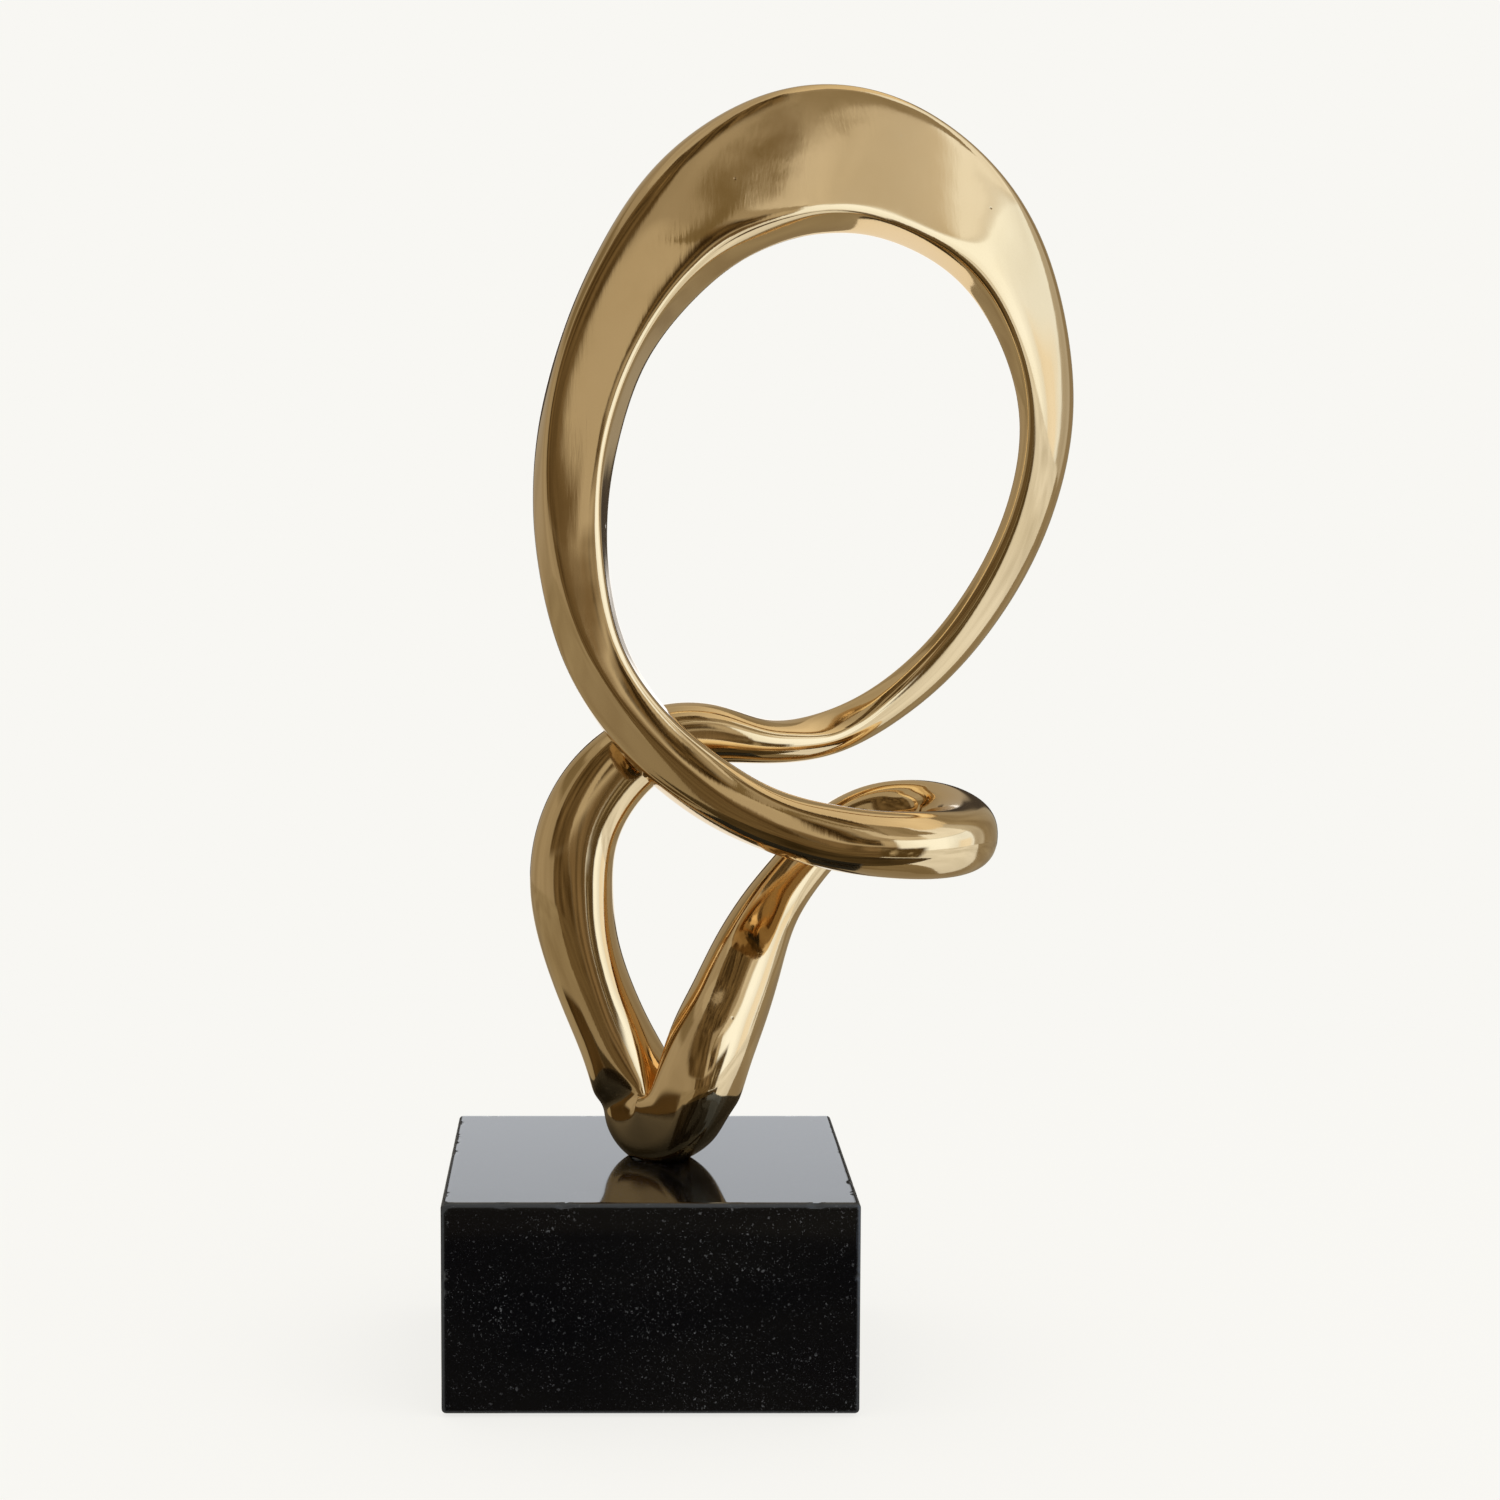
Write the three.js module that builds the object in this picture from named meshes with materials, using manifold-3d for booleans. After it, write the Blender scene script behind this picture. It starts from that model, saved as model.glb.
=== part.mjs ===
// Abstract sculpture: one polished brass strand bent into a looped figure on a black granite block.
// The strand rises from its foot, passes behind itself, runs round a large ring, crosses in front,
// curls back on the right and comes down to the foot again.
// Millimetres, +Z up, +Y away from the viewer. The origin is the centre of the felt's underside.

import * as THREE from 'three';
import { mergeVertices } from 'three/addons/utils/BufferGeometryUtils.js';
import Module from 'manifold-3d';

const wasm = await Module();
wasm.setup();

// Driving dimensions of the loop, to the middle of the strand where it is a height, width or depth.
// The strand's breadth and thickness are its largest, before its flats are trimmed.
const LOOP_HEIGHT = 313;
const LOOP_WIDTH = 150.8;
const LOOP_DEPTH = 59.5;
const CROWN_BREADTH = 45.4;
const STRAND_THICKNESS = 26;

// Driving dimensions of the base
const BLOCK_WIDTH = 125;
const BLOCK_DEPTH = 125;
const BLOCK_HEIGHT = 64;
const BLOCK_ARRIS = 1.4;
const FELT_THICKNESS = 1;
const FELT_INSET = 4;
const FELT_CORNER = 3;

// Driving dimensions of the fixing under the foot
const STUD_RADIUS = 5;
const STUD_CHAMFER = 0.8;
const STUD_IN_FOOT = 14;
const STUD_PAST_NUT = 3;
const FOOT_HOLE_SPARE = 0.5;
const THREAD_CLEARANCE = 0.3;
const BORE_CLEARANCE = 0.75;
const WASHER_RADIUS = 14;
const WASHER_THICKNESS = 2.5;
const SPRING_WASHER_WALL = 3.6;
const SPRING_WASHER_THICKNESS = 2.2;
const SPRING_WASHER_SPLIT = 2;
const NUT_ACROSS_FLATS = 17;
const NUT_HEIGHT = 8;
const NUT_CHAMFER = 1;
const RECESS_DEPTH = 20;
const RECESS_CLEARANCE = 3;

// Fineness of the curved faces
const ROUND_STEPS = 40;
const RINGS_PER_STATION = 3;
const POINTS_PER_RING = 36;

// Section of a round stretch: its flats lie outside the strand, where they trim nothing
const ROUND = { shift: 0, crisp: 12, square: 2.3, front: 30, outer: [75, 30], inner: [75, 30] };

// Stations of the strand, in order from the foot up the left leg and all the way round. They draw
// the figure's form; the driving dimensions of the loop set how large that form is each way.
// at: middle of the strand above the centre of the block's top. face: the way its front looks.
// size: breadth across the front, then thickness behind it. The breadth runs outwards on the ring.
// shift: offset along the breadth. square: 2 is an ellipse, and a larger number squares it.
// front: reach of a flat that trims the front, from the middle. outer, inner: turn of a flat on that
// side from the front in degrees, then its reach. crisp: how sharp the edges of the flats are.
const STATIONS = [
  // Sole of the foot and left leg, going up
  {
    at: [3, 0.3, 11], face: [-0.63, -0.78, -0.1], size: [24.8, 25], shift: -1.3,
    crisp: 10, square: 5, front: 10.6, outer: [225, 13.4], inner: [45, 12.4],
  },
  {
    at: [-0.5, 4.3, 14.5], face: [-0.62, -0.78, -0.08], size: [23.2, 25.5], shift: -1.4,
    crisp: 10, square: 5, front: 11.2, outer: [225, 13.5], inner: [45, 12.7],
  },
  {
    at: [-3.2, 7, 22.5], face: [-0.58, -0.81, 0], size: [23, 26], shift: -1.1,
    crisp: 10, square: 3.4, front: 12.6, outer: [225, 14], inner: [45, 13.8],
  },
  {
    at: [-9.4, 8.8, 36], face: [-0.4, -0.9, 0], size: [23, 26], shift: -0.5,
    crisp: 12, square: 2.3, front: 20, outer: [150, 26], inner: [60, 26],
  },
  { at: [-15.9, 9.8, 50], face: [-0.3, -0.95, 0], size: [22.8, 25.5] },
  { at: [-21.3, 10.5, 66], face: [-0.2, -1, 0], size: [24.2, 25] },
  { at: [-24.1, 11.3, 84], face: [-0.1, -1, 0], size: [26.3, 25] },
  { at: [-22.1, 12.5, 102.1], face: [0, -1, 0], size: [26, 23.5] },
  { at: [-13.1, 14.2, 118.5], face: [0, -1, 0], size: [25, 21.5] },

  // Behind the front strand, then the low neck on the left of the ring's foot
  { at: [2, 16.5, 130], face: [0, -1, 0], size: [22.6, 20] },
  {
    at: [20, 17.5, 133], face: [0, -1, 0], size: [19, 18], shift: 0,
    crisp: 12, square: 2.3, front: 20, outer: [85, 20], inner: [70, 20],
  },
  {
    at: [38, 20, 130.4], face: [0.1, -1, -0.1], size: [13.8, 18], shift: 0,
    crisp: 10, square: 2.2, front: 13, outer: [94, 11.5], inner: [66, 10.5],
  },
  {
    at: [58.5, 25.5, 132.5], face: [0.5, -0.8, -0.2], size: [14, 15], shift: -0.2,
    crisp: 8, square: 2, front: 10.8, outer: [99, 7.2], inner: [65, 5.4],
  },
  {
    at: [79, 30, 143], face: [0.6, -0.78, -0.18], size: [15.6, 11.6], shift: -0.2,
    crisp: 8, square: 1.8, front: 10.6, outer: [100, 8.8], inner: [82, 6.2],
  },

  // Right limb of the ring, going up
  {
    at: [98, 31.5, 160.3], face: [0.64, -0.76, -0.12], size: [17.4, 10.4], shift: -0.2,
    crisp: 10, square: 1.8, front: 10.6, outer: [101, 10.4], inner: [95, 7.4],
  },
  {
    at: [113.7, 29.5, 183.3], face: [0.66, -0.74, -0.06], size: [18.8, 10.5], shift: -0.4,
    crisp: 10, square: 1.9, front: 10.5, outer: [101, 12], inner: [104, 8.6],
  },
  {
    at: [123.2, 26, 206.9], face: [0.68, -0.73, 0.01], size: [20, 10.6], shift: -0.6,
    crisp: 12, square: 2.1, front: 10.5, outer: [99, 13.9], inner: [109, 9.4],
  },
  {
    at: [126.7, 22, 230.6], face: [0.66, -0.74, 0.07], size: [22, 11], shift: -0.8,
    crisp: 14, square: 2.3, front: 10.5, outer: [96, 16], inner: [110, 10],
  },
  {
    at: [123, 18, 254.2], face: [0.62, -0.77, 0.13], size: [25.5, 12.8], shift: -0.7,
    crisp: 16, square: 2.7, front: 10.2, outer: [92, 18], inner: [107, 10.8],
  },
  {
    at: [113.1, 14, 278.5], face: [0.52, -0.84, 0.18], size: [30.8, 16.2], shift: -1.2,
    crisp: 18, square: 3.2, front: 9.5, outer: [87, 20.4], inner: [103, 13.2],
  },
  {
    at: [97.4, 10, 297], face: [0.36, -0.91, 0.21], size: [36.8, 20.4], shift: -1.4,
    crisp: 20, square: 3.5, front: 8.4, outer: [82, 22.4], inner: [98, 16.2],
  },

  // Crown of the ring, where the strand is broadest
  {
    at: [76.5, 6, 309.2], face: [0.2, -0.95, 0.24], size: [42.4, 23.6], shift: -1.1,
    crisp: 22, square: 3.6, front: 7.8, outer: [76, 23.7], inner: [87, 19.2],
  },
  {
    at: [55.8, 2, 313], face: [0.1, -0.96, 0.25], size: [45.4, 24.6], shift: -0.8,
    crisp: 24, square: 3.4, front: 7.9, outer: [72, 24], inner: [75, 20.8],
  },
  {
    at: [36, -1.5, 308.8], face: [0.03, -0.97, 0.23], size: [44.4, 23.8], shift: -0.7,
    crisp: 24, square: 3, front: 8.6, outer: [71, 23], inner: [69, 20.4],
  },
  {
    at: [16, -4, 297.1], face: [-0.02, -0.98, 0.18], size: [40.4, 22.8], shift: -0.9,
    crisp: 22, square: 2.5, front: 9.8, outer: [74, 20.6], inner: [69, 17.8],
  },
  {
    at: [-0.4, -6, 278.5], face: [-0.04, -0.99, 0.12], size: [35.4, 23.4], shift: -0.9,
    crisp: 16, square: 2.7, front: 10.2, outer: [78, 17.6], inner: [75, 14],
  },

  // Left limb of the ring, coming down
  {
    at: [-13.2, -8, 256.9], face: [-0.06, -1, 0.06], size: [31, 24], shift: -1.2,
    crisp: 14, square: 3, front: 10.2, outer: [79, 15], inner: [81, 11.6],
  },
  {
    at: [-20.9, -9.5, 234], face: [-0.07, -1, 0.01], size: [28.4, 24], shift: -1.2,
    crisp: 14, square: 3.3, front: 10.3, outer: [73, 13.4], inner: [81, 10.6],
  },
  {
    at: [-24, -11, 211], face: [-0.08, -1, -0.01], size: [26, 22.8], shift: -1,
    crisp: 18, square: 3.3, front: 11, outer: [63, 12.3], inner: [85, 9.8],
  },
  {
    at: [-23, -12.5, 187], face: [-0.06, -1, 0], size: [23.8, 22], shift: -1,
    crisp: 20, square: 3.2, front: 11.7, outer: [53, 11.4], inner: [88, 9],
  },
  {
    at: [-16.8, -14, 161.6], face: [0, -1, 0.03], size: [22, 22.6], shift: -0.9,
    crisp: 20, square: 3.2, front: 11.9, outer: [44, 10.4], inner: [85, 8.2],
  },

  // Front strand, down to the right across the neck and the left leg
  {
    at: [-4.7, -16.5, 141.5], face: [0.12, -0.99, 0.07], size: [21, 23.4], shift: -0.5,
    crisp: 18, square: 3.1, front: 11.7, outer: [39, 10.3], inner: [80, 8.4],
  },
  {
    at: [10.3, -19, 126.5], face: [0.24, -0.96, 0.1], size: [20.2, 24], shift: -0.1,
    crisp: 14, square: 3.1, front: 11.4, outer: [36, 10.5], inner: [76, 9.2],
  },
  {
    at: [30, -23, 113.3], face: [0.3, -0.94, 0.11], size: [19, 24], shift: -0.3,
    crisp: 10, square: 2.9, front: 11.2, outer: [35, 11], inner: [72, 10.2],
  },
  {
    at: [52, -27, 106.2], face: [0.1, -1, 0.2], size: [19.5, 20], shift: 0,
    crisp: 10, square: 2.6, front: 13, outer: [42, 13], inner: [70, 12],
  },

  // Curl on the right, turning back behind the front strand
  {
    at: [72, -28, 103.2], face: [0, -0.9, 0.5], size: [19.6, 19.5], shift: 0,
    crisp: 12, square: 2.4, front: 20, outer: [60, 20], inner: [72, 20],
  },
  { at: [91.5, -20, 102.4], face: [0, -0.5, 0.9], size: [20, 20] },
  { at: [99.5, 0, 103.6], face: [0, 0, 1], size: [20, 20] },
  { at: [93.5, 20, 107], face: [0, -0.5, 0.9], size: [19, 19] },
  { at: [76, 27.5, 107.2], face: [0, -0.9, 0.5], size: [18, 18] },
  { at: [60.8, 26, 101.2], face: [0, -1, 0], size: [17.3, 17] },

  // Right leg, going down to the foot
  { at: [49.8, 22.5, 90.6], face: [-0.1, -1, 0], size: [17.3, 18] },
  { at: [39.3, 17.5, 77], face: [-0.2, -1, 0], size: [19.5, 20] },
  { at: [31.5, 10, 62.1], face: [-0.3, -1, 0], size: [23.5, 23] },
  { at: [25.4, 3, 48.3], face: [-0.4, -0.9, 0], size: [25.8, 25] },
  {
    at: [19.2, -3.5, 36], face: [-0.5, -0.85, 0], size: [27, 26], shift: -0.5,
    crisp: 12, square: 2.3, front: 20, outer: [150, 26], inner: [60, 26],
  },
  {
    at: [13.9, -6, 22.5], face: [-0.6, -0.8, 0], size: [23.7, 26], shift: -1.5,
    crisp: 10, square: 3.4, front: 12.6, outer: [225, 14], inner: [45, 13.8],
  },
  {
    at: [9.2, -3.8, 14.5], face: [-0.62, -0.78, -0.08], size: [22.7, 25.5], shift: -1.8,
    crisp: 10, square: 5, front: 11.2, outer: [225, 13.5], inner: [45, 12.7],
  },
];

// Scales from the drawn form to the driving dimensions
const drawn = (quantity, index) => STATIONS.map((station) => station[quantity][index]);
const span = (values) => Math.max(...values) - Math.min(...values);
const SCALE_X = LOOP_WIDTH / span(drawn('at', 0));
const SCALE_Y = LOOP_DEPTH / span(drawn('at', 1));
const SCALE_Z = LOOP_HEIGHT / Math.max(...drawn('at', 2));
const SCALE_BREADTH = CROWN_BREADTH / Math.max(...drawn('size', 0));
const SCALE_THICKNESS = STRAND_THICKNESS / Math.max(...drawn('size', 1));

// Places worked out from the driving dimensions
const BLOCK_TOP = FELT_THICKNESS + BLOCK_HEIGHT;
const BORE_RADIUS = STUD_RADIUS + BORE_CLEARANCE;
const THREAD_RADIUS = STUD_RADIUS + THREAD_CLEARANCE;
const RECESS_RADIUS = WASHER_RADIUS + RECESS_CLEARANCE;
const RECESS_CEILING = FELT_THICKNESS + RECESS_DEPTH;
const WASHER_BOTTOM = RECESS_CEILING - WASHER_THICKNESS;
const SPRING_WASHER_BOTTOM = WASHER_BOTTOM - SPRING_WASHER_THICKNESS;
const NUT_BOTTOM = SPRING_WASHER_BOTTOM - NUT_HEIGHT;
const STUD_BOTTOM = NUT_BOTTOM - STUD_PAST_NUT;
const STUD_LENGTH = BLOCK_TOP + STUD_IN_FOOT - STUD_BOTTOM;

// Materials
const brass = new THREE.MeshStandardMaterial({ color: 0xc9a468, roughness: 0.12, metalness: 1 });
const granite = new THREE.MeshStandardMaterial({ color: 0x17171a, roughness: 0.12, metalness: 0 });
const felt = new THREE.MeshStandardMaterial({ color: 0x1c1c1c, roughness: 1, metalness: 0 });
const steel = new THREE.MeshStandardMaterial({ color: 0xa9acb0, roughness: 0.35, metalness: 1 });

// Solid from a closed geometry, for joins and cuts
function toSolid(geometry) {
  const bare = geometry.clone();
  bare.deleteAttribute('normal');
  bare.deleteAttribute('uv');
  const merged = mergeVertices(bare, 1e-4);
  const vertProperties = new Float32Array(merged.attributes.position.array);
  const triVerts = new Uint32Array(merged.index.array);
  return new wasm.Manifold(new wasm.Mesh({ numProp: 3, vertProperties, triVerts }));
}

function toGeometry(solid) {
  const mesh = solid.getMesh();
  const geometry = new THREE.BufferGeometry();
  geometry.setAttribute('position', new THREE.BufferAttribute(mesh.vertProperties, 3));
  geometry.setIndex(new THREE.BufferAttribute(mesh.triVerts, 1));
  geometry.computeVertexNormals();
  return geometry;
}

// Turned solid about the Z axis, from a closed profile of [radius, height] points
function turned(profile) {
  const points = profile.map(([radius, height]) => new THREE.Vector2(radius, height));
  return new THREE.LatheGeometry(points, ROUND_STEPS).rotateX(Math.PI / 2);
}

function roundedRectangle(width, depth, corner) {
  const x = width / 2;
  const y = depth / 2;
  const shape = new THREE.Shape();
  shape.absarc(x - corner, y - corner, corner, 0, Math.PI / 2);
  shape.absarc(-x + corner, y - corner, corner, Math.PI / 2, Math.PI);
  shape.absarc(-x + corner, -y + corner, corner, Math.PI, 1.5 * Math.PI);
  shape.absarc(x - corner, -y + corner, corner, 1.5 * Math.PI, 2 * Math.PI);
  return shape;
}

// Block of granite with eased arrises, a bore for the stud and a recess for the nut below
function blockGeometry() {
  const width = BLOCK_WIDTH - 2 * BLOCK_ARRIS;
  const depth = BLOCK_DEPTH - 2 * BLOCK_ARRIS;
  const body = new THREE.ExtrudeGeometry(roundedRectangle(width, depth, BLOCK_ARRIS / 4), {
    depth: BLOCK_HEIGHT - 2 * BLOCK_ARRIS,
    bevelThickness: BLOCK_ARRIS,
    bevelSize: BLOCK_ARRIS,
    bevelSegments: 2,
    curveSegments: 2,
  });
  body.translate(0, 0, BLOCK_ARRIS);
  const past = 1;
  const bore = turned([
    [0, -past],
    [RECESS_RADIUS, -past],
    [RECESS_RADIUS, RECESS_DEPTH],
    [BORE_RADIUS, RECESS_DEPTH],
    [BORE_RADIUS, BLOCK_HEIGHT + past],
    [0, BLOCK_HEIGHT + past],
  ]);
  return toGeometry(toSolid(body).subtract(toSolid(bore)));
}

function feltGeometry() {
  const shape = roundedRectangle(BLOCK_WIDTH - 2 * FELT_INSET, BLOCK_DEPTH - 2 * FELT_INSET, FELT_CORNER);
  return new THREE.ExtrudeGeometry(shape, { depth: FELT_THICKNESS, bevelEnabled: false, curveSegments: 4 });
}

function studGeometry() {
  return turned([
    [0, 0],
    [STUD_RADIUS - STUD_CHAMFER, 0],
    [STUD_RADIUS, STUD_CHAMFER],
    [STUD_RADIUS, STUD_LENGTH - STUD_CHAMFER],
    [STUD_RADIUS - STUD_CHAMFER, STUD_LENGTH],
    [0, STUD_LENGTH],
  ]);
}

function washerGeometry() {
  return turned([
    [THREAD_RADIUS, 0],
    [WASHER_RADIUS, 0],
    [WASHER_RADIUS, WASHER_THICKNESS],
    [THREAD_RADIUS, WASHER_THICKNESS],
    [THREAD_RADIUS, 0],
  ]);
}

// Split ring, closed flat by the nut
function springWasherGeometry() {
  const outer = THREAD_RADIUS + SPRING_WASHER_WALL;
  const halfSplit = SPRING_WASHER_SPLIT / 2;
  const outerAngle = Math.asin(halfSplit / outer);
  const innerAngle = Math.asin(halfSplit / THREAD_RADIUS);
  const shape = new THREE.Shape();
  shape.absarc(0, 0, outer, outerAngle, 2 * Math.PI - outerAngle);
  shape.absarc(0, 0, THREAD_RADIUS, 2 * Math.PI - innerAngle, innerAngle, true);
  return new THREE.ExtrudeGeometry(shape, {
    depth: SPRING_WASHER_THICKNESS,
    bevelEnabled: false,
    curveSegments: ROUND_STEPS / 2,
  });
}

// Hexagon nut, its corners eased by a turned outline
function nutGeometry() {
  const cornerRadius = NUT_ACROSS_FLATS / Math.sqrt(3);
  const hexagon = new THREE.Shape();
  for (let i = 0; i < 6; i++) {
    const angle = (i * Math.PI) / 3;
    const point = [cornerRadius * Math.cos(angle), cornerRadius * Math.sin(angle)];
    if (i === 0) {
      hexagon.moveTo(...point);
    } else {
      hexagon.lineTo(...point);
    }
  }
  hexagon.closePath();
  const prism = new THREE.ExtrudeGeometry(hexagon, { depth: NUT_HEIGHT, bevelEnabled: false });
  const flatRadius = NUT_ACROSS_FLATS / 2;
  const outline = turned([
    [THREAD_RADIUS, 0],
    [flatRadius, 0],
    [cornerRadius, NUT_CHAMFER],
    [cornerRadius, NUT_HEIGHT - NUT_CHAMFER],
    [flatRadius, NUT_HEIGHT],
    [THREAD_RADIUS, NUT_HEIGHT],
    [THREAD_RADIUS, 0],
  ]);
  return toGeometry(toSolid(prism).intersect(toSolid(outline)));
}

// A station as one row of numbers, so that every quantity is blended in the same way
function stationRow(station) {
  const { at, face, size, shift, crisp, square, front, outer, inner } = { ...ROUND, ...station };
  const place = [at[0] * SCALE_X, at[1] * SCALE_Y, at[2] * SCALE_Z];
  return [...place, ...face, ...size, shift, crisp, square, front, ...outer, ...inner];
}

// Control rows of the closed cubic B-spline that passes through the given rows
function controlRows(rows) {
  const control = rows.map((row) => [...row]);
  const count = rows.length;
  for (let pass = 0; pass < 60; pass++) {
    for (let i = 0; i < count; i++) {
      const before = control[(i + count - 1) % count];
      const after = control[(i + 1) % count];
      control[i] = rows[i].map((value, k) => (6 * value - before[k] - after[k]) / 4);
    }
  }
  return control;
}

// Row of numbers at parameter t, and its rate of change
function blendRows(control, t) {
  const first = Math.floor(t);
  const f = t - first;
  const weights = [(1 - f) ** 3, 3 * f ** 3 - 6 * f ** 2 + 4, -3 * f ** 3 + 3 * f ** 2 + 3 * f + 1, f ** 3];
  const rates = [-((1 - f) ** 2), 3 * f ** 2 - 4 * f, -3 * f ** 2 + 2 * f + 1, f ** 2];
  const near = weights.map((_, k) => control[(first - 1 + k + control.length) % control.length]);
  const value = near[0].map((_, c) => near.reduce((sum, row, k) => sum + (row[c] * weights[k]) / 6, 0));
  const rate = near[0].map((_, c) => near.reduce((sum, row, k) => sum + (row[c] * rates[k]) / 2, 0));
  return { value, rate };
}

// Power of a sine or cosine that keeps its sign
function signedPower(value, power) {
  return Math.sign(value) * Math.abs(value) ** power;
}

// The section at an angle round the strand, as drawn: a squared ellipse trimmed by soft-edged flats
function sectionPoint(angle, section) {
  const [breadth, thickness, shift, crisp, square, front, outerTurn, outer, innerTurn, inner] = section;
  const sideways = (breadth / 2) * signedPower(Math.cos(angle), 2 / square);
  const forward = (thickness / 2) * signedPower(Math.sin(angle), 2 / square);
  let press = 1;
  for (const [turn, reach] of [[0, front], [outerTurn, outer], [-innerTurn, inner]]) {
    const radians = THREE.MathUtils.degToRad(turn);
    const toward = sideways * Math.sin(radians) + forward * Math.cos(radians);
    press += (Math.max(0, toward) / reach) ** crisp;
  }
  const pressed = press ** (-1 / crisp);
  return [sideways * pressed + shift, forward * pressed];
}

// One ring of points of the strand, its section set square to the strand
function ringPoints({ value, rate }) {
  const [x, y, z, faceX, faceY, faceZ, ...section] = value;
  const along = new THREE.Vector3(rate[0], rate[1], rate[2]).normalize();
  const front = new THREE.Vector3(faceX, faceY, faceZ);
  front.addScaledVector(along, -front.dot(along)).normalize();
  const across = new THREE.Vector3().crossVectors(along, front);
  const points = [];
  for (let j = 0; j < POINTS_PER_RING; j++) {
    const angle = ((j + 0.5) * 2 * Math.PI) / POINTS_PER_RING;
    const [sideways, forward] = sectionPoint(angle, section);
    const point = new THREE.Vector3(x, y, z);
    point.addScaledVector(across, sideways * SCALE_BREADTH);
    point.addScaledVector(front, forward * SCALE_THICKNESS);
    points.push(point);
  }
  return points;
}

// The whole strand as a closed skin through all its rings
function strandGeometry() {
  const control = controlRows(STATIONS.map(stationRow));
  const ringCount = STATIONS.length * RINGS_PER_STATION;
  const positions = [];
  const triangles = [];
  for (let i = 0; i < ringCount; i++) {
    const next = (i + 1) % ringCount;
    ringPoints(blendRows(control, i / RINGS_PER_STATION)).forEach((point, j) => {
      positions.push(point.x, point.y, point.z);
      const beside = (j + 1) % POINTS_PER_RING;
      const a = i * POINTS_PER_RING + j;
      const b = next * POINTS_PER_RING + j;
      const c = next * POINTS_PER_RING + beside;
      const d = i * POINTS_PER_RING + beside;
      triangles.push(a, b, c, a, c, d);
    });
  }
  const geometry = new THREE.BufferGeometry();
  geometry.setAttribute('position', new THREE.Float32BufferAttribute(positions, 3));
  geometry.setIndex(triangles);
  return geometry;
}

// The casting: the strand with its sole cut flat and a blind hole for the stud
function loopGeometry() {
  const cutSize = 80;
  const below = new THREE.BoxGeometry(cutSize, cutSize, cutSize).translate(0, 0, -cutSize / 2);
  const hole = turned([
    [0, -1],
    [THREAD_RADIUS, -1],
    [THREAD_RADIUS, STUD_IN_FOOT + FOOT_HOLE_SPARE],
    [0, STUD_IN_FOOT + FOOT_HOLE_SPARE],
  ]);
  return toGeometry(toSolid(strandGeometry()).subtract(toSolid(below)).subtract(toSolid(hole)));
}

// Assembly
const sculpture = new THREE.Group();

function addPiece(name, geometry, material, height) {
  const mesh = new THREE.Mesh(geometry, material);
  mesh.name = name;
  mesh.position.z = height;
  sculpture.add(mesh);
}

addPiece('brass_loop', loopGeometry(), brass, BLOCK_TOP);
addPiece('granite_block', blockGeometry(), granite, FELT_THICKNESS);
addPiece('felt_underlay', feltGeometry(), felt, 0);
addPiece('threaded_stud', studGeometry(), steel, STUD_BOTTOM);
addPiece('flat_washer', washerGeometry(), steel, WASHER_BOTTOM);
addPiece('spring_washer', springWasherGeometry(), steel, SPRING_WASHER_BOTTOM);
addPiece('hexagon_nut', nutGeometry(), steel, NUT_BOTTOM);

export default sculpture;
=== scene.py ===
# Abstract sculpture: a polished brass strand bent into a looped figure on a black granite block.
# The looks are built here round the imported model. Metres, +Z up, +Y away from the viewer. The
# strand's form is drawn in millimetres, as in its construction, and turned into metres at the end.

import math

import bmesh
import bpy
import numpy as np
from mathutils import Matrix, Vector, noise

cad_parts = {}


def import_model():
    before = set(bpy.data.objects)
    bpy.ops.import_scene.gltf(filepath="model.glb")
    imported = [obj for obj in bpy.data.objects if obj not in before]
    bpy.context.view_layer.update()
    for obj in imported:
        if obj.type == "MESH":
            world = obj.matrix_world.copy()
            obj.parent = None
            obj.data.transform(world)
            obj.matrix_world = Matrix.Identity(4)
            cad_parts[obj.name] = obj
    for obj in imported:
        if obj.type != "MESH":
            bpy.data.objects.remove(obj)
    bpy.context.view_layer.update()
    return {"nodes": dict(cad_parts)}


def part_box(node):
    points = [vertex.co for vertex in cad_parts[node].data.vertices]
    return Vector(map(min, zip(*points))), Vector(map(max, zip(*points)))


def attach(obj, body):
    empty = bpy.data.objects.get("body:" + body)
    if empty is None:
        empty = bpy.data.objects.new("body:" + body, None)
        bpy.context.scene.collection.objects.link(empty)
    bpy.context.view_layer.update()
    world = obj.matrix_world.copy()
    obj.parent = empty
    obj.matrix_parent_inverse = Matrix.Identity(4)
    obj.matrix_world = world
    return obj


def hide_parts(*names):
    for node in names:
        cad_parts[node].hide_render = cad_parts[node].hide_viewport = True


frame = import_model()

MM = 0.001

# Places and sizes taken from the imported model
block_low, block_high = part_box("granite_block")
felt_low, felt_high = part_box("felt_underlay")
BLOCK_TOP = block_high.z

# Fixing sizes, as in the construction
ARRIS = 1.4 * MM
BORE_RADIUS = 5.75 * MM
RECESS_RADIUS = 17 * MM
RECESS_DEPTH = 20 * MM
FOOT_HOLE_RADIUS = 5.3 * MM
FOOT_HOLE_DEPTH = 14.5 * MM

# Depth of the chips on the block's arrises, which the solids leave out
CHIP_DEPTH = 0.5 * MM

# Fineness of the strand's skin and of its spline
RINGS_PER_STATION = 14
POINTS_PER_RING = 112
SPLINE_SWEEPS = 60

# Section of the strand: a squared ellipse with up to three soft-edged flats. In order: how crisp the
# flats' edges are, how square the ellipse is, the reach of the front flat from the middle, then the
# outer and the inner flat, each with its turn from the front in degrees and its reach. A reach of 30
# lies outside the strand, so a round stretch has no flats.
ROUND = (12, 2.3, 30, (75, 30), (75, 30))

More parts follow.
